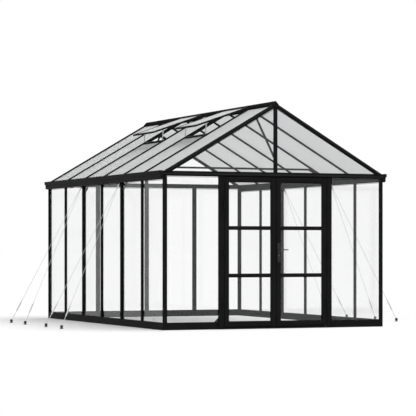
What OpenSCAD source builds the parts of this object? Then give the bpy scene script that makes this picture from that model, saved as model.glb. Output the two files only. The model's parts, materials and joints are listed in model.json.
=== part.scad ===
// Polycarbonate greenhouse with double doors, roof vents and guy wires.
// Millimetres. The origin is on the ground at the middle of the footprint.
// The doors face -Y and the slope with the vents faces -X.

/* [Footprint] */
// Outside width of the frame
width = 3000; // [2600:10:3600]
// Outside length of the frame
length = 4500; // [3900:10:5400]

/* [Heights] */
// Height of the base rails
base_h = 86; // [60:1:120]
// Underside of the eave beams, where the side walls end
eave_h = 1836; // [1700:2:2000]
// Height of the end beams' underside above the eave beams' underside
beam_rise = 38; // [20:1:60]
// Height of the front and back beams
beam_tall = 58; // [50:1:70]
// Height of the roof bars' outer face above the end beams, at the wall line
roof_lift = -5; // [-10:1:20]
// Slope of the roof in degrees
roof_pitch = 30.2; // [25:0.1:35]

/* [Frame sections] */
// Width of the corner posts and depth of the base rails and beams
corner_w = 50; // [48:1:60]
// Depth of the corner posts, the gable posts and the gable rafters' front legs
corner_deep = 20; // [18:1:30]
// Radius of the corner posts' outer edge
corner_round = 6; // [2:0.5:10]
// Wall of the base rails, which are open channels
rail_wall = 4; // [3:0.5:5]
// Height of the base rails' inner lips
rail_lip = 20; // [15:1:26]
// How far the bevelled faces of the end beams and gable rafters stand out
nose_out = 11; // [5:1:16]
// Width of the wall posts' faces
post_face = 32; // [28:1:40]
// Depth of the plain wall posts
post_deep = 29; // [24:1:34]
// Depth of the wall posts that carry the trusses
truss_post_deep = 48; // [40:1:50]
// Width of the back wall posts' faces
back_post_face = 60; // [40:1:70]
// Depth of the back wall posts
back_post_deep = 22; // [18:1:40]
// Width of the roof bars
rafter_w = 28; // [24:1:36]
// How far the roof bars stand out above the panels
rib_rise = 17; // [8:1:22]
// Depth of the roof bars below their outer face
rafter_deep = 42; // [38:1:52]
// Depth of the gable rafters below the roof bars' outer face
gable_deep = 50; // [44:1:60]
// Thickness of the outer flanges that hold the panels
flange_t = 4; // [3:0.5:6]
// Width of the web between two panels in a bar
web_w = 12; // [8:1:16]
// Depth of the slots that take the panel edges
slot_deep = 8; // [6:1:10]

/* [Panels] */
// Thickness of the clear wall panels
wall_panel_t = 4; // [3:0.5:6]
// How far the side wall panels lie behind the posts' outer faces
side_recess = 17; // [10:1:18]
// Thickness of the twin-wall roof panels
roof_panel_t = 6; // [4:0.5:8]
// Clearance on each side of a panel in its slot
panel_play = 0.2; // [0.1:0.05:0.5]

/* [Ridge and gutters] */
// Half width of the ridge beam and the gable posts
ridge_half = 23; // [18:1:27]
// How far the ridge beam reaches below the roof bars
ridge_drop = 3; // [0:1:20]
// Half width of the ridge cap
ridge_cap_half = 39; // [38:1:60]
// Height of the ridge cap's top above the peak of the roof bars
ridge_rise = 23; // [12:1:30]
// Height of the ridge cap's edges above the roof bars
ridge_side = 6; // [2:0.5:12]
// How far the gutters stand out from the wall
gutter_out = 50; // [46:1:75]
// Height of the gutters' lip above the end beams
gutter_rise = 7; // [4:1:12]
// Wall of the gutters
gutter_t = 4; // [3:0.5:5]
// How far the lower half of a gutter's face lies behind its lip
gutter_step = 15; // [10:1:18]
// How far the bottom edge of a gutter's face lies behind its lip
gutter_foot = 24; // [20:1:30]
// Thickness of the gutters' and ridge's end caps
end_cap_t = 5; // [3:0.5:8]
// Rim of an end cap around the gutter
cap_rim = 3; // [2:0.5:5]
// Length of gutter that an end cap covers
cap_lap = 22; // [10:1:40]
// How far the roof panels reach out over the gutters
roof_over = 20; // [10:1:30]

/* [Trusses and braces] */
// Height of the truss ties above the end beams
tie_rise = 101; // [80:1:140]
// Height of the truss ties
tie_tall = 24; // [18:1:32]
// Width of the ties, struts and knees
truss_w = 25; // [20:1:28]
// Depth of the struts below the truss rafters
strut_deep = 28; // [20:1:36]
// How far below the eave beams the knee braces meet the posts
knee_drop = 95; // [70:1:180]
// Height of a knee brace's foot on the post
knee_foot = 40; // [30:1:60]
// Distance of a knee brace's head from the eave beam
knee_head_in = 50; // [30:1:90]
// Width of a knee brace's head under the strut
knee_head_w = 28; // [20:1:40]
// Side of the triangular gussets
gusset_side = 60; // [40:1:90]
// Thickness of the triangular gussets
gusset_t = 4; // [3:0.5:6]
// How far above the end beams the gable braces meet the gable posts
brace_rise = 154; // [120:1:280]
// How far the gable braces reach along the ridge from the gable
brace_reach = 690; // [600:5:800]
// Side of the square gable braces
brace_w = 20; // [16:1:28]

/* [Doors] */
// Clear width between the door jambs
door_open_w = 1408; // [1200:2:1500]
// How far the doors and their jambs stand in front of the end wall
door_proud = 15; // [0:1:20]
// Width of the door jambs
jamb_w = 64; // [50:1:80]
// Depth of the door jambs
jamb_deep = 34; // [32:1:50]
// Height of the threshold
threshold_h = 18; // [12:1:30]
// Gap between a door leaf and the frame, at the sides and the top
door_gap = 6; // [5:0.5:10]
// Gap below a door leaf
door_under_gap = 8; // [6:0.5:15]
// Gap between the two door leaves
meeting_gap = 9; // [9:0.5:14]
// Gap between a closed leaf and the stops behind it
stop_gap = 6; // [5:0.5:9]
// Thickness of the stops above and below the leaves
stop_t = 5; // [3:0.5:8]
// How far the stops overlap a leaf
stop_lap = 10; // [4:1:16]
// Thickness of the door leaves
door_t = 32; // [30:1:46]
// Width of the door stiles
stile_w = 64; // [54:1:80]
// Height of the door's top rail
door_top_rail = 58; // [40:1:70]
// Height of the door's bottom rail
door_bottom_rail = 66; // [45:1:90]
// Height of the rails between the panes
muntin_h = 39; // [28:1:45]
// How far the rails between the panes lie behind the leaf's faces
muntin_back = 6; // [2:0.5:8]
// Bevel along the edges of the stiles and rails
door_bevel = 5; // [2:0.5:8]

/* [Hinges and handle] */
// Distance of the lowest hinge above the leaf's lower edge
hinge_low_in = 309; // [200:1:400]
// Distance of the middle hinge above the lowest one
hinge_step = 625; // [500:5:700]
// Distance of the highest hinge below the leaf's upper edge
hinge_high_in = 333; // [200:1:400]
// Height of a hinge
hinge_tall = 90; // [70:1:120]
// Radius of the hinge knuckles
knuckle_r = 7; // [6:0.5:9]
// Radius of the hinge pins
hinge_pin_r = 3; // [2.5:0.1:4]
// Running clearance at pins and bores
pin_play = 0.3; // [0.2:0.05:0.5]
// Width of a hinge plate
hinge_plate_w = 32; // [26:1:40]
// Thickness of a hinge plate
hinge_plate_t = 2.5; // [2:0.1:4]
// Height of the lever's spindle
lever_h = 975; // [900:5:1080]
// Length of the lever from its spindle
lever_len = 118; // [95:1:135]
// Radius of the lever's bar
lever_r = 6.5; // [5:0.5:8]
// Reach of the lever in front of its backplate
lever_neck = 34; // [28:1:45]
// Radius of the lever's rose
rose_r = 12; // [10:0.5:15]
// Height of the lever's rose
rose_t = 9; // [6:0.5:12]
// Radius of the spindle
spindle_r = 5; // [4:0.5:6]
// Width of the handle's backplates
backplate_w = 38; // [30:1:50]
// Height of the handle's backplates
backplate_tall = 240; // [200:5:280]
// How far the backplates reach below the spindle
backplate_drop = 156; // [120:1:170]
// Distance of the keyhole below the spindle
keyhole_drop = 72; // [60:1:90]
// Radius of the keyhole's round end
keyhole_r = 5; // [3:0.5:7]
// Length of the keyhole's slot
keyhole_slot = 16; // [10:1:22]
// Thickness of the handle's backplates
backplate_t = 6; // [4:0.5:9]

/* [Roof vents] */
// Length of a vent along the slope
vent_len = 765; // [730:5:800]
// Distance of the vent's lower bar from the peak, along the slope
vent_bar_at = 716; // [690:2:730]
// Opening angle of the vents in degrees
vent_angle = 11.3; // [4:0.1:30]
// Thickness of the vent's rails
vent_t = 22; // [18:1:30]
// Width of the vent's rails
vent_rail_w = 30; // [24:1:40]
// Gap between a vent and the ridge cap
vent_gap = 2; // [1:0.5:4]
// Gap on each side of a vent, from the middle of the roof bars
vent_side_gap = 4; // [2:0.5:8]
// How far up from its bar a vent's stays meet its rails
stay_lean = 80; // [40:5:150]
// Width of the flat stays that hold a vent open
stay_w = 16; // [10:1:24]
// Thickness of the flat stays
stay_t = 5; // [3:0.5:8]

/* [Guy wires] */
// Distance of the ground anchors from the wall
anchor_out = 1000; // [800:10:1200]
// How far the slanting wire's anchor is shifted along the wall
anchor_shift = 620; // [300:10:700]
// How far the wire brackets stand out from the posts
bracket_out = 14; // [10:1:20]
// Height of the wire brackets
bracket_tall = 34; // [26:1:50]
// Width of the wire brackets
bracket_w = 35; // [30:1:50]
// Distance between the two wires on a bracket
wire_part = 15; // [12:1:20]
// Radius of the wires
wire_r = 2.5; // [1.5:0.5:4]
// Radius of the sleeves at the wires' ends
sleeve_r = 4.5; // [4.2:0.1:6]
// Length of the sleeves
sleeve_len = 45; // [30:1:70]
// Radius of the turnbuckles' six-sided bodies
turnbuckle_r = 9; // [7:0.5:12]
// Length of the turnbuckles' bodies
turnbuckle_len = 130; // [90:5:180]
// Length of the round collar at each end of a body
collar_len = 18; // [10:1:30]
// Radius of the rods between the turnbuckles and the anchors
stud_r = 3.5; // [2.5:0.5:5]
// Radius of an anchor's shank
anchor_r = 9; // [7:0.5:12]
// Radius of an anchor's ball head
anchor_ball_r = 20; // [16:1:28]
// Height of the ball head's centre above the ground
anchor_ball_h = 28; // [26:1:40]
// Radius of an anchor's ground plate
anchor_plate_r = 26; // [20:1:40]
// Thickness of an anchor's ground plate
anchor_plate_t = 5; // [3:0.5:7]

/* [Hidden] */
$fn = 48;

// Colours of the real object
frame_black = "#1e1e1f";
clear_sheet = [0.93, 0.95, 0.96, 0.35];
roof_sheet = [0.78, 0.79, 0.79, 0.75];
steel_grey = "#b9bbbc";
dark_steel = "#3a3a3c";
cap_grey = "#333335";

// Half sizes, bays and the heights that follow from the slope
half_w = width / 2;
half_l = length / 2;
side_bays = 6;
bay = length / side_bays;
back_bays = 4;
back_bay = width / back_bays;
beam_h = eave_h + beam_rise;
beam_top = beam_h + beam_tall;
roof_edge_h = beam_top + roof_lift;
peak_h = roof_edge_h + half_w * tan(roof_pitch);
tie_h = beam_top + tie_rise;
inner_w = half_w - corner_w;
inner_l = half_l - corner_w;
side_end = half_l - corner_deep;

// Overshoot of cuts and the small gap at which round pieces seat
over = 1;
seat_gap = 0.3;

// End beams: height of the flat upper face and of the bevels' edge
beam_flat = beam_tall / 3;
beam_edge_h = beam_h + beam_tall / 3;

// Places of the side posts: plain ones and those that carry a truss
plain_post_ys = [-2 * bay, 0, 2 * bay];
truss_ys = [-bay, bay];
rafter_ys = [for (i = [1 : side_bays - 1]) -half_l + i * bay];
back_post_xs = [-back_bay, 0, back_bay];

// Width of a wall panel's slot and the depth of its back behind the outer face
wall_slot = wall_panel_t + 2 * panel_play;
wall_seat = flange_t + wall_slot;
side_seat = side_recess + wall_slot;

// Depth of the roof panels' back below the roof bars' outer face, and the same in the vents
roof_seat = rib_rise + roof_panel_t + 2 * panel_play;
vent_seat = flange_t + roof_panel_t + 2 * panel_play;

// The ridge cap's slots for the panels' upper edges
ridge_slot_x = ridge_cap_half - slot_deep;

// Doors
jamb_x = door_open_w / 2;
jamb_out = jamb_x + jamb_w;
stop_y = door_t + stop_gap;
leaf_w = jamb_x - door_gap - meeting_gap / 2;
leaf_low = threshold_h + door_under_gap;
leaf_high = beam_h - door_gap;
pane_low = leaf_low + door_bottom_rail;
pane_high = leaf_high - door_top_rail;
pane_h = (pane_high - pane_low - 2 * muntin_h) / 3;
pane_slot_y = (door_t - wall_panel_t) / 2 - panel_play;
lever_x = meeting_gap / 2 + stile_w / 2;

// Hinges: heights, and the pin's place in front of the plates
hinge_heights = [
  leaf_low + hinge_low_in, leaf_low + hinge_low_in + hinge_step, leaf_high - hinge_high_in
];
hinge_x = jamb_x - door_gap / 2;
knuckle_clear = 1;
hinge_side_gap = knuckle_r + knuckle_clear;
knuckle_seat = 0.5;
hinge_out = knuckle_r + hinge_plate_t - knuckle_seat;
knuckle_tall = hinge_tall / 3;

// Vents: the bays on the left slope that have one, by their far edge
vent_ys = [0, -2 * bay];
vent_start = ridge_cap_half / cos(roof_pitch) + vent_gap;
vent_w = bay - 2 * vent_side_gap;

// Slope helpers: the plane that lies d below the roof bars' outer face
function slope_z(x, d) = peak_h - x * tan(roof_pitch) - d / cos(roof_pitch);
function slope_x(z, d) = (peak_h - d / cos(roof_pitch) - z) / tan(roof_pitch);
ridge_low = slope_z(ridge_half, rafter_deep) - ridge_drop;
ridge_top = peak_h + ridge_rise;
ridge_edge_h = slope_z(ridge_cap_half, 0) + ridge_side;

// Frames of the four walls and the doors: x along the wall, y inwards from the outer face
module on_front() {
  translate([0, -half_l, 0]) children();
}
module on_door() {
  translate([0, -half_l - door_proud, 0]) children();
}
module on_back() {
  translate([0, half_l, 0]) rotate([0, 0, 180]) children();
}
module on_left() {
  translate([-half_w, 0, 0]) rotate([0, 0, -90]) children();
}
module on_right() {
  translate([half_w, 0, 0]) rotate([0, 0, 90]) children();
}
module both_sides() {
  children();
  mirror([1, 0, 0]) children();
}
module both_ends() {
  children();
  mirror([0, 1, 0]) children();
}

// Frame of the right slope: x down the slope from the peak, z outwards
module on_right_slope() {
  translate([0, 0, peak_h]) rotate([0, roof_pitch, 0]) children();
}
module on_left_slope() {
  mirror([1, 0, 0]) on_right_slope() children();
}

// An outline in the X-Z plane, extruded along Y from y0 to y1
module across(y0, y1) {
  translate([0, y1, 0]) rotate([90, 0, 0]) linear_extrude(y1 - y0) children();
}

// A wall's section, inwards and upwards, extruded along the wall from x0 to x1
module along(x0, x1) {
  translate([x0, 0, 0]) rotate([90, 0, 90]) linear_extrude(x1 - x0) children();
}

// A slab of the right slope from depth d0 to d1 and from x0 to x1
module slope_slab(d0, d1, x0, x1, y0, y1) {
  across(y0, y1) polygon([
    [x0, slope_z(x0, d0)], [x1, slope_z(x1, d0)],
    [x1, slope_z(x1, d1)], [x0, slope_z(x0, d1)]
  ]);
}

// A straight round bar between two points
module rod(a, b, r) {
  d = b - a;
  flat = norm([d[0], d[1]]);
  translate(a)
    rotate([0, atan2(flat, d[2]), atan2(d[1], d[0])])
      cylinder(h = norm(d), r = r);
}

// Wall post: a face of the given thickness, web and inner box with a slot each side
module post_section(face, front, deep) {
  translate([-face / 2, 0]) square([face, front]);
  translate([-web_w / 2, 0]) square([web_w, deep]);
  translate([-face / 2, front + wall_slot]) square([face, deep - front - wall_slot]);
}
module side_post(y, deep) {
  translate([y, 0, base_h]) linear_extrude(eave_h - base_h)
    post_section(post_face, side_recess, deep);
}

// Base rail: a channel with two lips on the inside and a slot along its top
module rail_section(front) {
  difference() {
    square([corner_w, base_h]);
    translate([rail_wall, rail_wall])
      square([corner_w - 2 * rail_wall, base_h - 2 * rail_wall - slot_deep]);
    translate([corner_w - rail_wall - over, rail_lip])
      square([rail_wall + 2 * over, base_h - 2 * rail_lip]);
    translate([front, base_h - slot_deep]) square([wall_slot, slot_deep + over]);
  }
}
module side_base_rails() {
  color(frame_black) both_sides() on_left()
    along(-side_end, side_end) rail_section(side_recess);
}
module end_base_rails() {
  color(frame_black) {
    both_sides() on_front() along(jamb_out, inner_w) rail_section(flange_t);
    on_back() along(-inner_w, inner_w) rail_section(flange_t);
  }
}

// Door threshold: bevelled outside, with a drip groove under the leaves and a stop behind them
module threshold_section() {
  bevel = threshold_h / 2;
  groove = threshold_h / 3;
  back = stop_y + stop_t;
  stop_h = leaf_low + stop_lap;
  difference() {
    polygon([
      [0, 0], [back, 0], [back, stop_h], [stop_y, stop_h], [stop_y, threshold_h],
      [bevel, threshold_h], [0, threshold_h - bevel]
    ]);
    translate([stop_y / 2, threshold_h - groove / 2]) square([groove, groove]);
  }
}
module door_threshold() {
  color(frame_black) on_door() along(-jamb_x, jamb_x) threshold_section();
}

// Corner post with slots for the end wall's and the side wall's panels
module corner_post() {
  slot_low = base_h - slot_deep;
  difference() {
    translate([-half_w, -half_l, 0]) linear_extrude(beam_top) corner_section();
    translate([-half_w + side_recess, -side_end - slot_deep, slot_low])
      cube([wall_slot, slot_deep + over, eave_h - slot_low]);
    translate([-inner_w - slot_deep, -half_l + flange_t, slot_low])
      cube([slot_deep + over, wall_slot, beam_h - slot_low]);
  }
}
module corner_section() {
  translate([corner_round, corner_round]) circle(corner_round);
  translate([corner_round, 0]) square([corner_w - corner_round, corner_deep]);
  translate([0, corner_round]) square([corner_w, corner_deep - corner_round]);
}
module corner_posts() {
  color(frame_black) both_ends() both_sides() corner_post();
}
module side_wall_posts() {
  color(frame_black) both_sides() on_left()
    for (y = plain_post_ys) side_post(y, post_deep);
}
module truss_posts() {
  color(frame_black) both_sides() on_left()
    for (y = truss_ys) side_post(y, truss_post_deep);
}
module back_wall_posts() {
  color(frame_black) on_back() for (x = back_post_xs)
    translate([x, 0, base_h]) linear_extrude(beam_h - base_h)
      post_section(back_post_face, flange_t, back_post_deep);
}

// Door jambs with a slot for the panels beside the door, and the stop under the beam
module door_jamb() {
  slot_low = base_h - slot_deep;
  difference() {
    translate([jamb_x, 0, 0]) cube([jamb_w, jamb_deep, beam_h]);
    translate([jamb_out - slot_deep, door_proud + flange_t, slot_low])
      cube([slot_deep + over, wall_slot, beam_h - slot_low + over]);
  }
}
module head_stop() {
  low = leaf_high - stop_lap;
  translate([-jamb_x, stop_y, low]) cube([2 * jamb_x, stop_t, beam_h - low]);
}
module door_jambs() {
  color(frame_black) on_door() {
    both_sides() door_jamb();
    head_stop();
  }
}

// Beam across an end wall, with a slot in its top for the gable panels.
// Its bevelled face runs on in front of the corner posts.
module end_beam() {
  along(-inner_w, inner_w) difference() {
    translate([0, beam_h]) square([corner_w, beam_tall]);
    translate([flange_t, beam_top - slot_deep]) square([wall_slot, slot_deep + over]);
  }
  along(-half_w, half_w)
    polygon([[0, beam_top - beam_flat], [-nose_out, beam_edge_h], [0, beam_h]]);
}
module end_beams() {
  y0 = -inner_l - slot_deep;
  color(frame_black) both_ends() difference() {
    on_front() end_beam();
    both_sides() slope_slab(rib_rise, roof_seat, 0, width, y0, y0 + 2 * slot_deep);
  }
}

// Eave beam and gutter of the right side, as one extrusion
module eave_outline() {
  polygon([
    [inner_w, eave_h], [half_w, eave_h],
    [half_w, slope_z(half_w, roof_seat)], [inner_w, slope_z(inner_w, roof_seat)]
  ]);
}
// The gutter's face from its bottom edge to its lip: steps outwards twice
gutter_x = half_w + gutter_out;
gutter_top = beam_top + gutter_rise;
gutter_mid_h = (eave_h + gutter_top) / 2;
gutter_face = [
  [gutter_x - gutter_foot, eave_h],
  [gutter_x - gutter_step, eave_h + gutter_foot - gutter_step + gutter_t],
  [gutter_x - gutter_step, gutter_mid_h],
  [gutter_x, gutter_mid_h + gutter_step],
  [gutter_x, gutter_top]
];
module gutter_outline() {
  inner_x = half_w + gutter_t;
  inner_top = slope_z(inner_x, roof_seat) - gutter_t;
  last = len(gutter_face) - 1;
  polygon(concat(
    [[half_w, inner_top], [half_w, eave_h]],
    gutter_face,
    [for (i = [last : -1 : 1]) gutter_face[i] - [gutter_t, 0]],
    [gutter_face[0] + [-gutter_t, gutter_t]],
    [[inner_x, eave_h + gutter_t], [inner_x, inner_top]]
  ));
}
module eave_gutter() {
  across(-side_end, side_end) eave_outline();
  across(-half_l, half_l) gutter_outline();
}
module eave_gutters() {
  color(frame_black) both_sides() eave_gutter();
}

// End caps: a plate with a rim around the gutter, and a bevelled ridge cap
module gutter_end_outline(rim) {
  polygon(concat(
    [[half_w, gutter_top], [half_w, eave_h - rim]],
    [gutter_face[0] + [rim, -rim]],
    [for (i = [1 : len(gutter_face) - 1]) gutter_face[i] + [rim, 0]]
  ));
}
module gutter_cap() {
  across(half_l, half_l + end_cap_t) gutter_end_outline(cap_rim);
  across(half_l - cap_lap, half_l) difference() {
    gutter_end_outline(cap_rim);
    gutter_end_outline(0);
  }
}
module ridge_end_outline(inset) {
  polygon(concat(ridge_end_side(inset, 1), ridge_end_side(inset, -1)));
}
function ridge_end_side(inset, s) =
  let (pts = [
    [s * (ridge_half - inset), ridge_low + inset],
    [s * (ridge_cap_half - inset), slope_z(ridge_cap_half, rib_rise)],
    [s * (ridge_cap_half - inset), ridge_edge_h - inset],
    [0, ridge_top - inset]
  ]) s > 0 ? pts : [pts[2], pts[1], pts[0]];
module ridge_end_cap() {
  hull() {
    across(half_l, half_l + end_cap_t) ridge_end_outline(0);
    across(half_l, half_l + 2 * end_cap_t) ridge_end_outline(end_cap_t);
  }
}
module end_caps() {
  color(cap_grey) both_ends() {
    both_sides() gutter_cap();
    ridge_end_cap();
  }
}

// Ridge beam: a cap over the panels' upper edges, a slot on each side and a box below
ridge_side_points = [
  [ridge_cap_half, ridge_edge_h],
  [ridge_cap_half, slope_z(ridge_cap_half, rib_rise)],
  [ridge_slot_x, slope_z(ridge_slot_x, rib_rise)],
  [ridge_slot_x, slope_z(ridge_slot_x, roof_seat)],
  [ridge_half, slope_z(ridge_half, roof_seat)],
  [ridge_half, ridge_low]
];
module ridge_outline() {
  last = len(ridge_side_points) - 1;
  polygon(concat(
    [[0, ridge_top]],
    ridge_side_points,
    [for (i = [last : -1 : 0]) [-ridge_side_points[i][0], ridge_side_points[i][1]]]
  ));
}
module ridge_beam() {
  color(frame_black) across(-half_l, half_l) ridge_outline();
}

// Gable rafter of the right slope: a front leg on the beam and the corner post, a shelf
// behind it that holds the panel's edge, and a bevelled face in front
module gable_rafter_outline() {
  polygon([
    [ridge_cap_half, slope_z(ridge_cap_half, 0)], [slope_x(beam_top, 0), beam_top],
    [slope_x(beam_top, gable_deep), beam_top], [ridge_half, slope_z(ridge_half, gable_deep)],
    [ridge_half, slope_z(ridge_half, roof_seat)],
    [ridge_cap_half, slope_z(ridge_cap_half, roof_seat)]
  ]);
}
module gable_shelf() {
  y0 = inner_l;
  y1 = side_end + over;
  difference() {
    intersection() {
      across(y0, y1) gable_rafter_outline();
      slope_slab(rib_rise - flange_t, roof_seat + 2 * flange_t, 0, width, y0, y1);
    }
    slope_slab(rib_rise, roof_seat, 0, width, y0 - over, y0 + slot_deep);
  }
}
module gable_nose() {
  y0 = half_l - over;
  y1 = half_l + nose_out;
  intersection() {
    across(y0, y1) intersection() {
      gable_rafter_outline();
      translate([ridge_cap_half, 0]) square([width, ridge_top]);
    }
    on_right_slope() rotate([90, 0, 90]) linear_extrude(width) polygon([
      [y0, 0], [half_l, 0], [y1, -gable_deep / 2], [half_l, -gable_deep], [y0, -gable_deep]
    ]);
  }
}
module gable_rafter() {
  difference() {
    across(side_end, half_l) gable_rafter_outline();
    across(half_l - wall_seat, half_l - flange_t) gable_panel_outline(0);
  }
  gable_shelf();
  gable_nose();
}
module gable_rafters() {
  color(frame_black) both_ends() both_sides() gable_rafter();
}

// Roof bars: rib and flange lie on the panels, the web runs between them over the eave
// beam, and the box below ends against the beam
module bar_slab(d0, d1, x0, x1, y, w) {
  slope_slab(d0, d1, x0, x1, y - w / 2, y + w / 2);
}
module roof_bar(y) {
  low_end = half_w + roof_over;
  bar_slab(0, rib_rise, ridge_cap_half, low_end, y, web_w);
  bar_slab(rib_rise - flange_t, rib_rise, ridge_cap_half, low_end, y, rafter_w);
  bar_slab(rib_rise, roof_seat, ridge_slot_x, half_w, y, web_w);
  bar_slab(roof_seat, rafter_deep, ridge_half, inner_w, y, rafter_w);
}
module roof_bars() {
  color(frame_black) both_sides() for (y = rafter_ys) roof_bar(y);
}

// Gable post under the ridge, with a slot on each side
module gable_posts() {
  top = ridge_low;
  color(frame_black) both_ends() on_front() difference() {
    translate([-ridge_half, 0, beam_top])
      cube([2 * ridge_half, corner_deep, top - beam_top]);
    for (s = [-1, 1])
      translate([s * ridge_half - slot_deep, flange_t, beam_top - over])
        cube([2 * slot_deep, wall_slot, top - beam_top + 2 * over]);
  }
}

// Brace in the middle plane from the gable post up to the ridge
module gable_braces() {
  low = beam_top + brace_rise;
  y0 = -side_end;
  y1 = -half_l + brace_reach;
  lean = atan2(ridge_low - low, y1 - y0);
  color(frame_black) both_ends()
    translate([brace_w / 2, 0, 0]) rotate([0, -90, 0]) linear_extrude(brace_w) polygon([
      [low, y0], [low + brace_w / cos(lean), y0],
      [ridge_low, y1 - brace_w / sin(lean)], [ridge_low, y1]
    ]);
}

// Trusses: a tie between two rafters, struts under them and knees to the posts
module truss_ties() {
  high = tie_h + tie_tall;
  color(frame_black) for (y = truss_ys)
    across(y - truss_w / 2, y + truss_w / 2) polygon([
      [-slope_x(tie_h, rafter_deep), tie_h], [slope_x(tie_h, rafter_deep), tie_h],
      [slope_x(high, rafter_deep), high], [-slope_x(high, rafter_deep), high]
    ]);
}
module truss_struts() {
  low = rafter_deep + strut_deep;
  color(frame_black) both_sides() for (y = truss_ys)
    across(y - truss_w / 2, y + truss_w / 2) polygon([
      [slope_x(tie_h, rafter_deep), tie_h], [inner_w, slope_z(inner_w, rafter_deep)],
      [inner_w, slope_z(inner_w, low)], [slope_x(tie_h, low), tie_h]
    ]);
}
module knee_braces() {
  low = rafter_deep + strut_deep;
  foot_x = half_w - truss_post_deep;
  foot_h = eave_h - knee_drop;
  x1 = inner_w - knee_head_in;
  x0 = x1 - knee_head_w;
  color(frame_black) both_sides() for (y = truss_ys)
    across(y - truss_w / 2, y + truss_w / 2) polygon([
      [foot_x, foot_h], [foot_x, foot_h + knee_foot],
      [x1, slope_z(x1, low)], [x0, slope_z(x0, low)]
    ]);
}

// Triangular plates in the corners between posts and the rail above or below
module gusset(x, seat, z, face, along, up) {
  translate([x, seat + gusset_t / 2, z]) rotate([90, 0, 0])
    linear_extrude(gusset_t, center = true) polygon([
      [along * face / 2, 0], [along * (face / 2 + gusset_side), 0],
      [along * face / 2, up * gusset_side]
    ]);
}
module corner_gussets() {
  color(frame_black) {
    on_left() for (y = [0, 2 * bay]) gusset(y, side_seat, eave_h, post_face, -1, -1);
    on_right() for (y = [0, -2 * bay]) gusset(y, side_seat, eave_h, post_face, -1, -1);
    both_sides() on_front() gusset(jamb_out, wall_seat, base_h, 0, 1, 1);
  }
}

// Wall panels
module wall_panel(x0, x1, front, high) {
  low = base_h - slot_deep;
  translate([x0 + panel_play, front + panel_play, low])
    cube([x1 - x0 - 2 * panel_play, wall_panel_t, high - low]);
}
module side_panels() {
  edge = side_end + slot_deep;
  for (i = [0 : side_bays - 1]) {
    x0 = i == 0 ? -edge : -half_l + i * bay + web_w / 2;
    x1 = i == side_bays - 1 ? edge : -half_l + (i + 1) * bay - web_w / 2;
    wall_panel(x0, x1, side_recess, eave_h);
  }
}
module back_panels() {
  edge = inner_w + slot_deep;
  for (i = [0 : back_bays - 1]) {
    x0 = i == 0 ? -edge : -half_w + i * back_bay + web_w / 2;
    x1 = i == back_bays - 1 ? edge : -half_w + (i + 1) * back_bay - web_w / 2;
    wall_panel(x0, x1, flange_t, beam_h);
  }
}
module side_wall_panels() {
  color(clear_sheet) both_sides() on_left() side_panels();
}
module end_wall_panels() {
  color(clear_sheet) {
    on_back() back_panels();
    both_sides() on_front()
      wall_panel(jamb_out - slot_deep, inner_w + slot_deep, flange_t, beam_h);
  }
}

// Gable panel between the beam, the gable post and the rafter
module gable_panel_outline(play) {
  x0 = ridge_half - slot_deep + play;
  low = beam_top - slot_deep;
  d = gable_deep - slot_deep + play;
  x1 = slope_x(beam_top, d);
  polygon([
    [x0, low], [x1, low], [x1, beam_top],
    [x0, min(slope_z(x0, d), ridge_low - play)]
  ]);
}
module gable_panels() {
  y0 = half_l - flange_t - panel_play - wall_panel_t;
  color(clear_sheet) both_ends() both_sides()
    across(y0, y0 + wall_panel_t) gable_panel_outline(panel_play);
}

// Roof panels of the right slope, from x0 down to the gutter
module roof_panel(x0, y0, y1) {
  top = rib_rise + panel_play;
  slope_slab(top, top + roof_panel_t, x0, half_w + roof_over, y0 + panel_play, y1 - panel_play);
}
module slope_panels(vents) {
  edge = inner_l + slot_deep;
  slot_end = vent_bar_at + rafter_w / 2 - slot_deep;
  below_bar = slot_end * cos(roof_pitch) - rib_rise * sin(roof_pitch) + panel_play;
  for (i = [0 : side_bays - 1]) {
    far = -half_l + i * bay;
    y0 = i == 0 ? -edge : far + web_w / 2;
    y1 = i == side_bays - 1 ? edge : far + bay - web_w / 2;
    has_vent = vents && len([for (y = vent_ys) if (abs(y - far) < 1) y]) > 0;
    roof_panel(has_vent ? below_bar : ridge_slot_x + panel_play, y0, y1);
  }
}
module left_roof_panels() {
  color(roof_sheet) mirror([1, 0, 0]) slope_panels(true);
}
module right_roof_panels() {
  color(roof_sheet) slope_panels(false);
}

// Bar across the bay below each vent, with a slot for the panel under it
module vent_bars() {
  w = rafter_w;
  color(frame_black) on_left_slope() for (y = vent_ys)
    translate([vent_bar_at - w / 2, y + w / 2, 0]) difference() {
      translate([0, 0, -rafter_deep]) cube([w, bay - w, rafter_deep]);
      translate([w - slot_deep, -over, -roof_seat])
        cube([slot_deep + over, bay, roof_seat - rib_rise]);
    }
}

// Frame of an opened vent: x from the hinge line down, z outwards
module on_vents() {
  on_left_slope() for (y = vent_ys)
    translate([vent_start, y + vent_side_gap, 0]) rotate([0, -vent_angle, 0]) children();
}
module vent_side_rails() {
  color(frame_black) on_vents() for (y = [0, vent_w - vent_rail_w])
    translate([0, y, 0]) difference() {
      cube([vent_len, vent_rail_w, vent_t]);
      translate([-over, y > 0 ? -over : vent_rail_w - slot_deep, vent_t - vent_seat])
        cube([vent_len + 2 * over, slot_deep + over, vent_seat - flange_t]);
    }
}
module vent_end_rails() {
  color(frame_black) on_vents() for (x = [0, vent_len - vent_rail_w])
    translate([x, vent_rail_w, 0]) difference() {
      cube([vent_rail_w, vent_w - 2 * vent_rail_w, vent_t]);
      translate([x > 0 ? -over : vent_rail_w - slot_deep, -over, vent_t - vent_seat])
        cube([slot_deep + over, vent_w, vent_seat - flange_t]);
    }
}
module vent_panels() {
  inset = vent_rail_w - slot_deep + panel_play;
  color(roof_sheet) on_vents()
    translate([inset, inset, vent_t - flange_t - panel_play - roof_panel_t])
      cube([vent_len - 2 * inset, vent_w - 2 * inset, roof_panel_t]);
}
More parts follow.
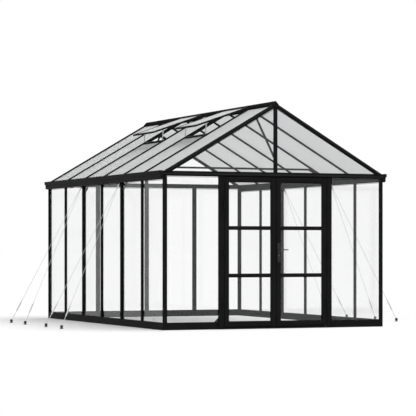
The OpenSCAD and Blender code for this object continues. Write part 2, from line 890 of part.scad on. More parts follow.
module vent_stays() {
  foot = vent_bar_at - stay_w / 2;
  head = vent_bar_at - vent_start - stay_lean;
  c = cos(vent_angle);
  s = sin(vent_angle);
  in = rafter_w;
  color(steel_grey) on_left_slope() for (y = vent_ys)
    for (at = [y + in, y + bay - in - stay_t])
      across(at, at + stay_t) polygon([
        [foot, 0], [foot + stay_w, 0],
        [vent_start + (head + stay_w) * c, (head + stay_w) * s],
        [vent_start + head * c, head * s]
      ]);
}

// Door leaf of the right side, in the doors' frame
module pane_slots() {
  for (i = [0 : 2]) {
    low = pane_low + i * (pane_h + muntin_h);
    translate([meeting_gap / 2 + stile_w - slot_deep, pane_slot_y, low - slot_deep])
      cube([leaf_w - 2 * stile_w + 2 * slot_deep, wall_panel_t + 2 * panel_play,
        pane_h + 2 * slot_deep]);
  }
}
// Section with bevelled edges, from one face of the leaf to the other
module bevelled(w, t) {
  b = door_bevel;
  polygon([
    [b, 0], [w - b, 0], [w, b], [w, t - b], [w - b, t], [b, t], [0, t - b], [0, b]
  ]);
}
module leaf_stiles() {
  for (x = [meeting_gap / 2, meeting_gap / 2 + leaf_w - stile_w])
    translate([x, 0, leaf_low]) linear_extrude(leaf_high - leaf_low) bevelled(stile_w, door_t);
}
module leaf_rail(low, tall, back) {
  x0 = meeting_gap / 2 + stile_w;
  translate([0, back, low]) along(x0, x0 + leaf_w - 2 * stile_w)
    mirror([1, -1]) bevelled(tall, door_t - 2 * back);
}
module leaf_rails() {
  leaf_rail(leaf_low, door_bottom_rail, 0);
  leaf_rail(pane_low + pane_h, muntin_h, muntin_back);
  leaf_rail(pane_low + 2 * pane_h + muntin_h, muntin_h, muntin_back);
  leaf_rail(pane_high, door_top_rail, 0);
}
module leaf_panes() {
  play = panel_play;
  for (i = [0 : 2]) {
    low = pane_low + i * (pane_h + muntin_h) - slot_deep + play;
    translate([meeting_gap / 2 + stile_w - slot_deep + play, pane_slot_y + play, low])
      cube([leaf_w - 2 * stile_w + 2 * slot_deep - 2 * play, wall_panel_t,
        pane_h + 2 * slot_deep - 2 * play]);
  }
}
module left_door_stiles() {
  color(frame_black) mirror([1, 0, 0]) on_door() difference() {
    leaf_stiles();
    pane_slots();
  }
}
module left_door_rails() {
  color(frame_black) mirror([1, 0, 0]) on_door() difference() {
    leaf_rails();
    pane_slots();
  }
}
module left_door_panes() {
  color(clear_sheet) mirror([1, 0, 0]) on_door() leaf_panes();
}
module right_door_stiles() {
  color(frame_black) on_door() difference() {
    leaf_stiles();
    pane_slots();
    spindle_bore();
  }
}
module right_door_rails() {
  color(frame_black) on_door() difference() {
    leaf_rails();
    pane_slots();
  }
}
module right_door_panes() {
  color(clear_sheet) on_door() leaf_panes();
}

// Hinges of the right side: the leaf's middle knuckle turns on the jamb's pin
module hinge_plate(z, side) {
  x0 = side > 0 ? hinge_x + hinge_side_gap : hinge_x - hinge_side_gap - hinge_plate_w;
  translate([x0, -hinge_plate_t, z - hinge_tall / 2])
    cube([hinge_plate_w, hinge_plate_t, hinge_tall]);
}
module hinge_knuckle(z, side, tall) {
  translate([side > 0 ? hinge_x : hinge_x - hinge_side_gap, -hinge_plate_t, z - tall / 2])
    cube([hinge_side_gap, hinge_plate_t, tall]);
  translate([hinge_x, -hinge_out, z - tall / 2]) cylinder(h = tall, r = knuckle_r);
}
module hinge_pin(z, r) {
  translate([hinge_x, -hinge_out, z - hinge_tall / 2]) cylinder(h = hinge_tall, r = r);
}
module leaf_hinges() {
  for (z = hinge_heights) difference() {
    union() {
      hinge_plate(z, -1);
      hinge_knuckle(z, -1, knuckle_tall - 2 * pin_play);
    }
    hinge_pin(z, hinge_pin_r + pin_play);
  }
}
module post_hinges() {
  for (z = hinge_heights) {
    hinge_plate(z, 1);
    hinge_knuckle(z - knuckle_tall, 1, knuckle_tall);
    hinge_knuckle(z + knuckle_tall, 1, knuckle_tall);
    hinge_pin(z, hinge_pin_r);
  }
}
module left_door_hinges() {
  color(frame_black) mirror([1, 0, 0]) on_door() leaf_hinges();
}
module right_door_hinges() {
  color(frame_black) on_door() leaf_hinges();
}
module jamb_hinges() {
  color(frame_black) both_sides() on_door() post_hinges();
}

// Lever handle on the right leaf, with a backplate on each face
module spindle_bore() {
  translate([lever_x, -over - backplate_t, lever_h]) rotate([-90, 0, 0])
    cylinder(h = door_t + 2 * backplate_t + 2 * over, r = spindle_r + pin_play);
}
module backplate_outline() {
  r = backplate_w / 2;
  low = r - backplate_drop;
  high = backplate_tall - backplate_drop - r;
  difference() {
    union() {
      translate([-r, low]) square([backplate_w, high - low]);
      translate([0, low]) circle(r);
      translate([0, high]) circle(r);
    }
    translate([0, -keyhole_drop]) circle(keyhole_r);
    translate([-keyhole_r / 2, -keyhole_drop - keyhole_slot]) square([keyhole_r, keyhole_slot]);
  }
}
module handle_plates() {
  color(dark_steel) on_door() for (y = [-backplate_t, door_t]) difference() {
    translate([lever_x, 0, lever_h]) across(y, y + backplate_t) backplate_outline();
    spindle_bore();
  }
}
module lever_arm() {
  axis = lever_neck - lever_r;
  rotate([90, 0, 0]) cylinder(h = rose_t, r = rose_r);
  rotate([90, 0, 0]) cylinder(h = axis, r = lever_r);
  translate([0, -axis, 0]) {
    sphere(lever_r);
    rotate([0, 90, 0]) cylinder(h = lever_len - lever_r, r = lever_r);
    translate([lever_len - lever_r, 0, 0]) sphere(lever_r);
  }
}
module door_lever() {
  off = backplate_t + pin_play;
  color(dark_steel) on_door() translate([lever_x, 0, lever_h]) {
    translate([0, -off, 0]) rotate([-90, 0, 0])
      cylinder(h = door_t + 2 * off, r = spindle_r);
    translate([0, -off, 0]) lever_arm();
    translate([0, door_t + off, 0]) mirror([0, 1, 0]) lever_arm();
  }
}

// Guy wires: on each truss post one straight out and one slanting wire.
// Made for the left side; the right side is the same turned half round.
function wire_start(y, slant) = [
  -half_w - bracket_out - sleeve_r - seat_gap, y + (0.5 - slant) * wire_part,
  eave_h - bracket_tall / 2
];
function anchor_at(y, slant) = [-half_w - anchor_out, y - slant * anchor_shift, 0];
function ball_at(y, slant) = anchor_at(y, slant) + [0, 0, anchor_ball_h];
function wire_dir(y, slant) =
  let (d = ball_at(y, slant) - wire_start(y, slant)) d / norm(d);
function wire_end(y, slant) =
  ball_at(y, slant) - wire_dir(y, slant) * (anchor_ball_r + seat_gap);
module each_wire_side() {
  children();
  rotate([0, 0, 180]) children();
}
module wire_brackets() {
  x0 = -half_w - bracket_out;
  low = eave_h - bracket_tall;
  slope = bracket_out / 2;
  color(frame_black) each_wire_side() for (y = truss_ys)
    across(y - bracket_w / 2, y + bracket_w / 2) polygon([
      [-half_w, low], [-half_w, eave_h], [x0, eave_h - slope], [x0, low + slope]
    ]);
}
module guy_wires() {
  color(steel_grey) each_wire_side() for (y = truss_ys) for (slant = [0, 1]) {
    dir = wire_dir(y, slant);
    start = wire_start(y, slant);
    end = wire_end(y, slant) - dir * (2 * turnbuckle_len);
    rod(start, end, wire_r);
    rod(start, start + dir * sleeve_len, sleeve_r);
    rod(end - dir * sleeve_len, end, sleeve_r);
  }
}
module turnbuckles() {
  color(steel_grey) each_wire_side() for (y = truss_ys) for (slant = [0, 1]) {
    dir = wire_dir(y, slant);
    end = wire_end(y, slant);
    high = end - dir * (2 * turnbuckle_len);
    low = end - dir * turnbuckle_len;
    rod(high + dir * collar_len, low - dir * collar_len, turnbuckle_r, $fn = 6);
    rod(high, low, turnbuckle_r * sin(60));
    rod(low - dir * collar_len, end, stud_r);
  }
}
module ground_anchors() {
  color(dark_steel) each_wire_side() for (y = truss_ys) for (slant = [0, 1])
    translate(anchor_at(y, slant)) {
      cylinder(h = anchor_plate_t, r = anchor_plate_r);
      cylinder(h = anchor_ball_h, r = anchor_r);
      translate([0, 0, anchor_ball_h]) sphere(r = anchor_ball_r);
    }
}

side_base_rails();
end_base_rails();
door_threshold();
corner_posts();
side_wall_posts();
truss_posts();
back_wall_posts();
door_jambs();
end_beams();
eave_gutters();
end_caps();
ridge_beam();
gable_rafters();
roof_bars();
gable_posts();
gable_braces();
truss_ties();
truss_struts();
knee_braces();
corner_gussets();
side_wall_panels();
end_wall_panels();
gable_panels();
left_roof_panels();
right_roof_panels();
vent_bars();
vent_side_rails();
vent_end_rails();
vent_panels();
vent_stays();
left_door_stiles();
left_door_rails();
left_door_panes();
left_door_hinges();
right_door_stiles();
right_door_rails();
right_door_panes();
right_door_hinges();
jamb_hinges();
handle_plates();
door_lever();
wire_brackets();
guy_wires();
turnbuckles();
ground_anchors();
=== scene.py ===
"""Looks of the polycarbonate greenhouse: materials, small fasteners and seals, floor, light and camera."""

import json
import math

import bmesh
import bpy
from mathutils import Matrix, Vector


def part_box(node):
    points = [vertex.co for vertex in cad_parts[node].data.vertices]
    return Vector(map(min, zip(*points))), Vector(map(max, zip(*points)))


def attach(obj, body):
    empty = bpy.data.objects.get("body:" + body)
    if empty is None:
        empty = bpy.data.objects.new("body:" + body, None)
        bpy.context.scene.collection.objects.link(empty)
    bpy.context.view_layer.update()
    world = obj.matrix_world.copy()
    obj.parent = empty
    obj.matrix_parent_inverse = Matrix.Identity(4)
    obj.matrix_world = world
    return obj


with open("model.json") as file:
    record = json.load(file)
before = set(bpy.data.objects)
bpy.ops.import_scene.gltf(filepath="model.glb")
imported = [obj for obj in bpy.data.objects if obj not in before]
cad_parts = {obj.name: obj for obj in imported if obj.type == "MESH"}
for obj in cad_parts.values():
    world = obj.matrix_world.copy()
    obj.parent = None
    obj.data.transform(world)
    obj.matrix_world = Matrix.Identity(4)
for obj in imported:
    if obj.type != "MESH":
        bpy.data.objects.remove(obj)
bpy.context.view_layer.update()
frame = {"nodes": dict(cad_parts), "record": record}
nodes = frame["nodes"]
record = frame["record"]
slot_of = {sub["node"]: sub["material_slot"] for sub in record["subparts"]}
joint_at = {joint["name"]: Vector(joint["pos_m"]) for joint in record["behaviour"]["joints"]}


# Camera, fitted to the photograph's upright and level edges; metres, degrees and millimetres of lens
CAMERA_AT = (-10.0381, -24.0704, 0.9897)
CAMERA_TURN_DEG = -22.7006
LENS_MM = 167.31
SENSOR_MM = 36.0
SHIFT_UP = 0.09763
CAMERA_REACH = 3000.0

# Light and floor
KEY_SUN = {"towards": (0.34, -0.12, 0.93), "strength": 2.95, "spread_deg": 50.0}
FILL_SUN = {"towards": (-0.80, -0.20, 0.55), "strength": 0.5, "spread_deg": 60.0}
WORLD_LIGHT = 0.06
WORLD_SEEN = 1.0
FLOOR_HALF = 400.0
FLOOR_DROP = 0.002
FLOOR_BOUNCE = 0.2
FLOOR_SEEN = 0.72
FLOOR_GLOW = 0.27

# Looks: tones and roughness from low to high, shares from 0 to 1, depths in metres
NOISE_USED = (0.3, 0.7)
CLOUD_SCALE, CLOUD_SHADE = 3.0, 0.1
PEEL_GLOSS, PEEL_STRENGTH = 0.08, 0.25
HAZE_SCALE = 1.6
CLEAR_TONES = ((0.64, 0.65, 0.66), (0.70, 0.71, 0.72))
CLEAR_ROUGH = 0.06
CLEAR_VEIL = (0.03, 0.14)
RIB_SCALE, RIB_STRENGTH, RIB_DEPTH = 26.0, 0.35, 0.0012
ROOF_TONES = ((0.78, 0.785, 0.785), (0.86, 0.865, 0.865))
ROOF_CLOUD_SCALE = 1.3
ROOF_ROUGH = (0.28, 0.42)
ROOF_SPECULAR = 0.2
ROOF_THROUGH = 0.57
SPANGLE_SCALE, SPANGLE_SHADE, SPANGLE_USED = 160.0, 0.86, (0.2, 0.8)
SPANGLE_GLOSS = (-0.07, 0.1)
SCRATCH_SCALE, SCRATCH_STRENGTH, SCRATCH_DEPTH = 420.0, 0.15, 0.0003

# Small parts, in metres; HINGE_SCREWS_UP, CAP_SCREWS_UP and GUSSET_SCREW_IN are shares
RING = 18
SINK = 0.0003
SCREW_R, SCREW_H = 0.0048, 0.0024
BOLT_R, BOLT_H = 0.0075, 0.0058
RIVET_R, RIVET_H = 0.0045, 0.0022
BARREL_R, BARREL_L = 0.0044, 0.005
SEAL_START, SEAL_W, SEAL_H = 0.0078, 0.0045, 0.0018
KNUCKLE_REACH, HINGE_LEAF = 0.012, 0.032
HINGE_SCREWS_UP = (0.17, 0.5, 0.83)
CAP_SCREWS_UP = (0.3, 0.7)
GUSSET_SCREW_IN = 0.52
FOOT_SCREW_STEP = 0.013
KEYHOLE_DROP = 0.072
BRACE_BOLT_IN = 0.035
STRUT_BOLT_IN = 0.05
STAY_RIVET_IN = 0.012
SMOOTH_DEG = 40.0


# Materials

def new_material(name):
    material = bpy.data.materials.new(name)
    material.use_nodes = True
    tree = material.node_tree
    return material, tree, tree.nodes["Principled BSDF"]


def texture(tree, kind, scale, **sockets):
    """A procedural texture in the object's own metres."""
    coords = tree.nodes.new("ShaderNodeTexCoord")
    node = tree.nodes.new(kind)
    tree.links.new(coords.outputs["Object"], node.inputs["Vector"])
    node.inputs["Scale"].default_value = scale
    for socket, value in sockets.items():
        node.inputs[socket].default_value = value
    return node


def ramp(tree, value, places, colours):
    """A colour that runs between two colours as the value runs between two places."""
    node = tree.nodes.new("ShaderNodeValToRGB")
    for element, position, colour in zip(node.color_ramp.elements, places, colours):
        element.position = position
        element.color = (*colour, 1.0)
    tree.links.new(value, node.inputs["Fac"])
    return node.outputs["Color"]


def spread(tree, value, low, high):
    """Maps 0 to 1 onto low to high."""
    node = tree.nodes.new("ShaderNodeMapRange")
    node.inputs["To Min"].default_value = low
    node.inputs["To Max"].default_value = high
    tree.links.new(value, node.inputs["Value"])
    return node.outputs["Result"]


def bump(tree, shader, height, strength, distance):
    node = tree.nodes.new("ShaderNodeBump")
    node.inputs["Strength"].default_value = strength
    node.inputs["Distance"].default_value = distance
    tree.links.new(height, node.inputs["Height"])
    tree.links.new(node.outputs["Normal"], shader.inputs["Normal"])


def shaded(tone, factor):
    return tuple(factor * channel for channel in tone)


def coated(name, tone, rough, grain, grain_depth, specular):
    """Powder coat, plastic or rubber: fine orange-peel grain and faint cloudy changes of tone."""
    material, tree, shader = new_material(name)
    cloud = texture(tree, "ShaderNodeTexNoise", CLOUD_SCALE, Detail=4.0)
    tones = (shaded(tone, 1.0 - CLOUD_SHADE), shaded(tone, 1.0 + CLOUD_SHADE))
    shade = ramp(tree, cloud.outputs["Fac"], NOISE_USED, tones)
    tree.links.new(shade, shader.inputs["Base Color"])
    peel = texture(tree, "ShaderNodeTexNoise", grain, Detail=3.0)
    gloss = spread(tree, peel.outputs["Fac"], rough - PEEL_GLOSS, rough + PEEL_GLOSS)
    tree.links.new(gloss, shader.inputs["Roughness"])
    bump(tree, shader, peel.outputs["Fac"], PEEL_STRENGTH, grain_depth)
    shader.inputs["Specular IOR Level"].default_value = specular
    return material


def clear_sheet():
    """Clear sheet: a faint veil of reflected light, stronger at a slant, over what lies behind."""
    material, tree, shader = new_material("clear_polycarbonate")
    haze = texture(tree, "ShaderNodeTexNoise", HAZE_SCALE, Detail=5.0)
    shade = ramp(tree, haze.outputs["Fac"], NOISE_USED, CLEAR_TONES)
    tree.links.new(shade, shader.inputs["Base Color"])
    shader.inputs["Metallic"].default_value = 1.0
    shader.inputs["Roughness"].default_value = CLEAR_ROUGH
    slant = tree.nodes.new("ShaderNodeLayerWeight")
    slant.inputs["Blend"].default_value = 0.5
    tree.links.new(spread(tree, slant.outputs["Facing"], *CLEAR_VEIL), shader.inputs["Alpha"])
    return material


def roof_sheet():
    """Twin-wall sheet: light passes softly, and the inner ribs show as fine lines down the slope."""
    material, tree, shader = new_material("twin_wall_polycarbonate")
    ribs = texture(tree, "ShaderNodeTexWave", RIB_SCALE, Distortion=0.0)
    ribs.bands_direction = "Y"
    shade = ramp(tree, ribs.outputs["Fac"], (0.0, 1.0), ROOF_TONES)
    tree.links.new(shade, shader.inputs["Base Color"])
    cloud = texture(tree, "ShaderNodeTexNoise", ROOF_CLOUD_SCALE, Detail=3.0)
    tree.links.new(spread(tree, cloud.outputs["Fac"], *ROOF_ROUGH), shader.inputs["Roughness"])
    shader.inputs["Specular IOR Level"].default_value = ROOF_SPECULAR
    bump(tree, shader, ribs.outputs["Fac"], RIB_STRENGTH, RIB_DEPTH)
    through = tree.nodes.new("ShaderNodeBsdfTranslucent")
    tree.links.new(shade, through.inputs["Color"])
    both = tree.nodes.new("ShaderNodeMixShader")
    both.inputs["Fac"].default_value = ROOF_THROUGH
    tree.links.new(shader.outputs["BSDF"], both.inputs[1])
    tree.links.new(through.outputs["BSDF"], both.inputs[2])
    tree.links.new(both.outputs["Shader"], tree.nodes["Material Output"].inputs["Surface"])
    return material


def galvanised(name, tone, rough):
    """Galvanised steel: faint spangle in tone and gloss."""
    material, tree, shader = new_material(name)
    spangle = texture(tree, "ShaderNodeTexVoronoi", SPANGLE_SCALE)
    shade = ramp(tree, spangle.outputs["Color"], SPANGLE_USED, (shaded(tone, SPANGLE_SHADE), tone))
    tree.links.new(shade, shader.inputs["Base Color"])
    shader.inputs["Metallic"].default_value = 1.0
    smooth, dull = SPANGLE_GLOSS
    gloss = spread(tree, spangle.outputs["Distance"], rough + smooth, rough + dull)
    tree.links.new(gloss, shader.inputs["Roughness"])
    scratch = texture(tree, "ShaderNodeTexNoise", SCRATCH_SCALE, Detail=2.0)
    bump(tree, shader, scratch.outputs["Fac"], SCRATCH_STRENGTH, SCRATCH_DEPTH)
    return material


SLOT_LOOKS = {
    "frame": coated(
        "frame_coat", tone=(0.03, 0.03, 0.031), rough=0.5,
        grain=900.0, grain_depth=0.0002, specular=0.013),
    "fittings": coated(
        "fitting_plastic", tone=(0.031, 0.031, 0.032), rough=0.55,
        grain=420.0, grain_depth=0.0003, specular=0.013),
    "handle": coated(
        "handle_coat", tone=(0.04, 0.04, 0.042), rough=0.35,
        grain=700.0, grain_depth=0.0002, specular=0.3),
    "clear_sheet": clear_sheet(),
    "roof_sheet": roof_sheet(),
    "steel": galvanised("galvanised_steel", tone=(0.56, 0.57, 0.58), rough=0.36),
}
NODE_LOOKS = {
    # Painted shade: the ridge has the frame's powder coat, painted darker than the frame (0.022 against
    # 0.03) and with no gloss, so that it reads as shaded.
    "ridge_beam": coated(
        "ridge_painted_shade_coat", tone=(0.022, 0.022, 0.023), rough=0.6,
        grain=900.0, grain_depth=0.0002, specular=0.0),
    "ground_anchors": coated(
        "anchor_coat", tone=(0.10, 0.10, 0.105), rough=0.5,
        grain=600.0, grain_depth=0.0003, specular=0.15),
}
BATCH_LOOKS = {
    "panel_seals": coated(
        "seal_rubber", tone=(0.02, 0.02, 0.021), rough=0.75,
        grain=260.0, grain_depth=0.0003, specular=0.02),
}


def dress_nodes():
    for name, obj in nodes.items():
        obj.data.materials.clear()
        obj.data.materials.append(NODE_LOOKS.get(name, SLOT_LOOKS[slot_of[name]]))


# Turned shapes, standing on z = 0

def ring(radius, z, corners=0):
    """A ring of points about Z: round, or a polygon with that many corners."""
    points = []
    for i in range(RING):
        turn = 2 * math.pi * i / RING
        reach = radius
        if corners:
            half = math.pi / corners
            reach = radius * math.cos(half) / math.cos(turn % (2 * half) - half)
        points.append(Vector((reach * math.cos(turn), reach * math.sin(turn), z)))
    return points


def walls(levels, count, wrapped):
    """Faces between loops of points; wrapped joins the last loop to the first."""
    faces = []
    for level in range(levels if wrapped else levels - 1):
        low, high = level * count, (level + 1) % levels * count
        for i in range(count):
            j = (i + 1) % count
            faces.append((low + i, low + j, high + j, high + i))
    return faces


def turned(*rings):
    """A closed shape through rings, from its foot to its top."""
    points = [point for one in rings for point in one]
    foot = tuple(reversed(range(RING)))
    top = tuple(range(len(points) - RING, len(points)))
    return points, [foot, *walls(len(rings), RING, wrapped=False), top]


SCREW = turned(
    ring(SCREW_R, -SINK),
    ring(SCREW_R, 0.0),
    ring(0.95 * SCREW_R, 0.5 * SCREW_H),
    ring(0.78 * SCREW_R, 0.87 * SCREW_H),
    ring(0.55 * SCREW_R, SCREW_H),
    ring(0.42 * SCREW_R, SCREW_H, corners=6),
    ring(0.42 * SCREW_R, 0.3 * SCREW_H, corners=6))
BOLT = turned(
    ring(1.5 * BOLT_R, -SINK),
    ring(1.5 * BOLT_R, 0.22 * BOLT_H),
    ring(BOLT_R, 0.22 * BOLT_H, corners=6),
    ring(BOLT_R, 0.86 * BOLT_H, corners=6),
    ring(0.82 * BOLT_R, BOLT_H))
RIVET = turned(
    ring(RIVET_R, -SINK),
    ring(RIVET_R, 0.0),
    ring(0.92 * RIVET_R, 0.5 * RIVET_H),
    ring(0.65 * RIVET_R, 0.87 * RIVET_H),
    ring(0.25 * RIVET_R, RIVET_H))
BARREL = turned(
    ring(BARREL_R, 0.0),
    ring(BARREL_R, 0.9 * BARREL_L),
    ring(0.9 * BARREL_R, BARREL_L),
    ring(0.3 * BARREL_R, BARREL_L),
    ring(0.3 * BARREL_R, 0.5 * BARREL_L))


# Places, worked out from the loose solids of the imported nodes

def span(points):
    """Lowest and highest corner."""
    low = Vector([min(p[i] for p in points) for i in range(3)])
    high = Vector([max(p[i] for p in points) for i in range(3)])
    return low, high


def mean(points):
    return sum(points, Vector()) / len(points)


def loose_solids(node):
    """Each separate solid of a node, by place: its corner points and its broadest face's normal."""
    mesh = bmesh.new()
    mesh.from_mesh(nodes[node].data)
    bmesh.ops.remove_doubles(mesh, verts=mesh.verts, dist=1e-5)
    mesh.normal_update()
    seen = set()
    solids = []
    for start in mesh.verts:
        if start in seen:
            continue
        seen.add(start)
        reached = [start]
        for vert in reached:
            for edge in vert.link_edges:
                other = edge.other_vert(vert)
                if other not in seen:
                    seen.add(other)
                    reached.append(other)
        faces = {face for vert in reached for face in vert.link_faces}
        broadest = max(faces, key=lambda face: (round(face.calc_area(), 5), tuple(face.normal)))
        solids.append(([vert.co.copy() for vert in reached], broadest.normal.copy()))
    mesh.free()
    return sorted(solids, key=lambda solid: tuple(round(c, 4) for c in span(solid[0])[0]))


def bar_ends(points, inset):
    """Two places on a straight bar's axis, that far in from its ends."""
    middle = mean(points)
    far = max(points, key=lambda p: round((p - middle).length, 5)) - middle
    first = mean([p for p in points if (p - middle).dot(far) > 0])
    second = mean([p for p in points if (p - middle).dot(far) <= 0])
    along = (second - first).normalized()
    return [first + along * inset, second - along * inset]


def outline_of(points, outward):
    """The corners of a sheet's face on that side, in order round it."""
    level = max(p.dot(outward) for p in points)
    corners = [p for p in points if p.dot(outward) > level - 1e-4]
    middle = mean(corners)
    right = (corners[0] - middle).normalized()
    up = outward.cross(right)
    return sorted(corners, key=lambda p: math.atan2((p - middle).dot(up), (p - middle).dot(right)))


def shrunk(outline, outward, inset):
    """An outline with every side moved in."""
    count = len(outline)
    sides = [(outline[(i + 1) % count] - outline[i]).normalized() for i in range(count)]
    moved = []
    for i in range(count):
        before, after = sides[i - 1], sides[i]
        inwards = outward.cross(before) + outward.cross(after)
        moved.append(outline[i] + inwards * inset / (1.0 + before.dot(after)))
    return moved


# Small parts, gathered in batches: (name, body, slot) to points and faces

FIXED_SHEETS = (
    "side_wall_panels", "end_wall_panels", "gable_panels",
    "left_roof_panels", "right_roof_panels", "vent_panels")
batches = {}


def add_shape(batch, points, faces):
    kept_points, kept_faces = batches.setdefault(batch, ([], []))
    first = len(kept_points)
    kept_points.extend(points)
    kept_faces.extend(tuple(first + i for i in face) for face in faces)


def place(batch, shape, at, outward):
    """Stands a turned shape on a face."""
    points, faces = shape
    turn = Vector(outward).to_track_quat("Z", "Y").to_matrix().to_4x4()
    stand = Matrix.Translation(at) @ turn
    add_shape(batch, [stand @ point for point in points], faces)


def add_seals(node, body):
    """A rounded rubber bead along the sheets' edges, on both faces."""
    bead = [(0.0, -SINK), (0.15, 0.75 * SEAL_H), (0.5, SEAL_H), (0.85, 0.75 * SEAL_H), (1.0, -SINK)]
    for points, broad in loose_solids(node):
        for outward in (broad, -broad):
            outline = outline_of(points, outward)
            loops = []
            for part, rise in bead:
                loop = shrunk(outline, outward, SEAL_START + part * SEAL_W)
                loops.extend(p + outward * rise for p in loop)
            faces = walls(len(bead), len(outline), wrapped=True)
            add_shape(("panel_seals", body, "fittings"), loops, faces)


def add_hinge_screws(node, body, axes):
    """Three screws down the flat leaf of each hinge."""
    for points, _ in loose_solids(node):
        low, high = span(points)
        middle = (low.x + high.x) / 2
        axis = min(axes, key=lambda at: abs(at.x - middle))
        side = 1 if middle > axis.x else -1
        x = (high.x if side > 0 else low.x) - side * HINGE_LEAF / 2
        face = min(p.y for p in points if abs(p.x - axis.x) > KNUCKLE_REACH)
        for up in HINGE_SCREWS_UP:
            at = (x, face, low.z + up * (high.z - low.z))
            place(("hinge_screws", body, "fittings"), SCREW, at, (0, -1, 0))


def add_end_fixings(node, shape, name, slot, inset):
    """A bolt or rivet at each end of upright flat bars, on both faces."""
    for points, _ in loose_solids(node):
        low, high = span(points)
        for at in bar_ends(points, inset):
            place((name, "greenhouse", slot), shape, (at.x, low.y, at.z), (0, -1, 0))
            place((name, "greenhouse", slot), shape, (at.x, high.y, at.z), (0, 1, 0))


def add_gusset_screws():
    """Three screws on the inner face of each triangular gusset."""
    for points, broad in loose_solids("corner_gussets"):
        inwards = broad if broad.dot(mean(points)) < 0 else -broad
        corners = outline_of(points, inwards)
        for corner in corners:
            at = corner.lerp(mean(corners), GUSSET_SCREW_IN)
            place(("gusset_screws", "greenhouse", "fittings"), SCREW, at, inwards)


def add_foot_screws():
    """Two screws through the base rail into each side post."""
    low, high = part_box("side_base_rails")
    z = (low.z + high.z) / 2
    for node in ("side_wall_posts", "truss_posts"):
        for points, _ in loose_solids(node):
            middle = mean(span(points))
            side = 1 if middle.x > 0 else -1
            face = high.x if side > 0 else low.x
            for step in (-FOOT_SCREW_STEP, FOOT_SCREW_STEP):
                at = (face, middle.y + step, z)
                place(("foot_screws", "greenhouse", "fittings"), SCREW, at, (side, 0, 0))


def add_end_cap_screws():
    """Two screws on the outer face of each end cap."""
    for points, _ in loose_solids("end_caps"):
        low, high = span(points)
        front = low.y < 0
        for up in CAP_SCREWS_UP:
            at = ((low.x + high.x) / 2, low.y if front else high.y, low.z + up * (high.z - low.z))
            place(("end_cap_screws", "greenhouse", "fittings"), SCREW, at, (0, -1 if front else 1, 0))


def add_handle_details(spindle):
    """Fixing screws at the ends of both backplates, and a lock barrel in each keyhole."""
    for points, _ in loose_solids("handle_plates"):
        low, high = span(points)
        front = low.y < spindle.y
        face = low.y if front else high.y
        outward = Vector((0, -1 if front else 1, 0))
        round_end = (high.x - low.x) / 2
        for z in (low.z + round_end, high.z - round_end):
            place(("handle_screws", "right_door", "handle"), SCREW, (spindle.x, face, z), outward)
        keyhole = Vector((spindle.x, face, spindle.z - KEYHOLE_DROP))
        place(("lock_barrels", "right_door", "steel"), BARREL, keyhole - outward * BARREL_L, outward)


def add_small_parts():
    door_axes = [joint_at["left_door_hinge"], joint_at["right_door_hinge"]]
    for node in FIXED_SHEETS:
        add_seals(node, "greenhouse")
    for door in ("left_door", "right_door"):
        add_seals(f"{door}_panes", door)
        add_hinge_screws(f"{door}_hinges", door, door_axes)
    add_hinge_screws("jamb_hinges", "greenhouse", door_axes)
    add_end_fixings("knee_braces", BOLT, "truss_bolts", "fittings", BRACE_BOLT_IN)
    add_end_fixings("truss_struts", BOLT, "truss_bolts", "fittings", STRUT_BOLT_IN)
    add_end_fixings("vent_stays", RIVET, "stay_rivets", "steel", STAY_RIVET_IN)
    add_gusset_screws()
    add_foot_screws()
    add_end_cap_screws()
    add_handle_details(joint_at["lever_turn"])


def build_batches():
    """One piece for each batch, riding its body."""
    for (name, body, slot), (points, faces) in batches.items():
        mesh = bpy.data.meshes.new(f"{body}_{name}")
        mesh.from_pydata(points, [], faces)
        mesh.polygons.foreach_set("use_smooth", [True] * len(mesh.polygons))
        mesh.set_sharp_from_angle(angle=math.radians(SMOOTH_DEG))
        mesh.materials.append(BATCH_LOOKS.get(name, SLOT_LOOKS[slot]))
        piece = bpy.data.objects.new(f"{body}_{name}", mesh)
        bpy.context.collection.objects.link(piece)
        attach(piece, body)


# Camera, floor, world and lamps

def add_camera():
    data = bpy.data.cameras.new("photo_view")
    data.lens = LENS_MM
    data.sensor_width = SENSOR_MM
    data.shift_y = SHIFT_UP
    data.clip_end = CAMERA_REACH
    camera = bpy.data.objects.new("photo_view", data)
    camera.location = CAMERA_AT
    camera.rotation_euler = (math.radians(90), 0.0, math.radians(CAMERA_TURN_DEG))
    bpy.context.collection.objects.link(camera)
    bpy.context.scene.camera = camera


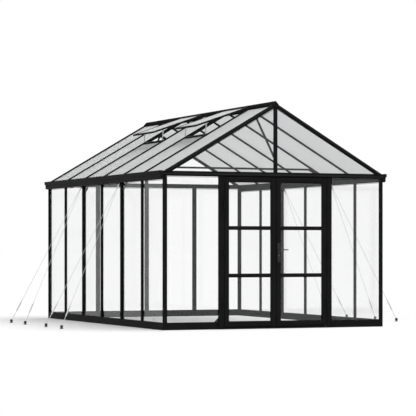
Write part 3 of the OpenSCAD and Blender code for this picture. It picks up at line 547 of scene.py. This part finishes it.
def seen_directly(tree):
    """1 for rays from the camera, from gloss and through glass."""
    path = tree.nodes.new("ShaderNodeLightPath")
    total = path.outputs["Is Camera Ray"]
    for ray in ("Is Glossy Ray", "Is Transmission Ray"):
        either = tree.nodes.new("ShaderNodeMath")
        either.operation = "MAXIMUM"
        tree.links.new(total, either.inputs[0])
        tree.links.new(path.outputs[ray], either.inputs[1])
        total = either.outputs[0]
    return total


def add_floor():
    """A pale floor that shows white away from the object and keeps its shadow."""
    mesh = bpy.data.meshes.new("floor")
    sides = ((-1, -1), (1, -1), (1, 1), (-1, 1))
    corners = [(FLOOR_HALF * x, FLOOR_HALF * y, -FLOOR_DROP) for x, y in sides]
    mesh.from_pydata(corners, [], [(0, 1, 2, 3)])
    floor = bpy.data.objects.new("floor", mesh)
    bpy.context.collection.objects.link(floor)
    material, tree, shader = new_material("pale_floor")
    tree.nodes.remove(shader)
    direct = seen_directly(tree)
    matt = tree.nodes.new("ShaderNodeBsdfDiffuse")
    tree.links.new(spread(tree, direct, FLOOR_BOUNCE, FLOOR_SEEN), matt.inputs["Color"])
    glow = tree.nodes.new("ShaderNodeEmission")
    tree.links.new(spread(tree, direct, 0.0, FLOOR_GLOW), glow.inputs["Strength"])
    both = tree.nodes.new("ShaderNodeAddShader")
    tree.links.new(matt.outputs["BSDF"], both.inputs[0])
    tree.links.new(glow.outputs["Emission"], both.inputs[1])
    tree.links.new(both.outputs["Shader"], tree.nodes["Material Output"].inputs["Surface"])
    mesh.materials.append(material)


def add_world():
    world = bpy.data.worlds.new("studio")
    bpy.context.scene.world = world
    world.use_nodes = True
    tree = world.node_tree
    back = tree.nodes["Background"]
    back.inputs["Color"].default_value = (1.0, 1.0, 1.0, 1.0)
    tree.links.new(spread(tree, seen_directly(tree), WORLD_LIGHT, WORLD_SEEN), back.inputs["Strength"])


def add_sun(name, towards, strength, spread_deg):
    data = bpy.data.lights.new(name, "SUN")
    data.energy = strength
    data.angle = math.radians(spread_deg)
    lamp = bpy.data.objects.new(name, data)
    lamp.rotation_euler = Vector(towards).to_track_quat("Z", "Y").to_euler()
    bpy.context.collection.objects.link(lamp)


dress_nodes()
add_small_parts()
build_batches()
add_camera()
add_floor()
add_world()
add_sun("key", **KEY_SUN)
add_sun("fill", **FILL_SUN)
bpy.context.scene.view_settings.view_transform = "Standard"
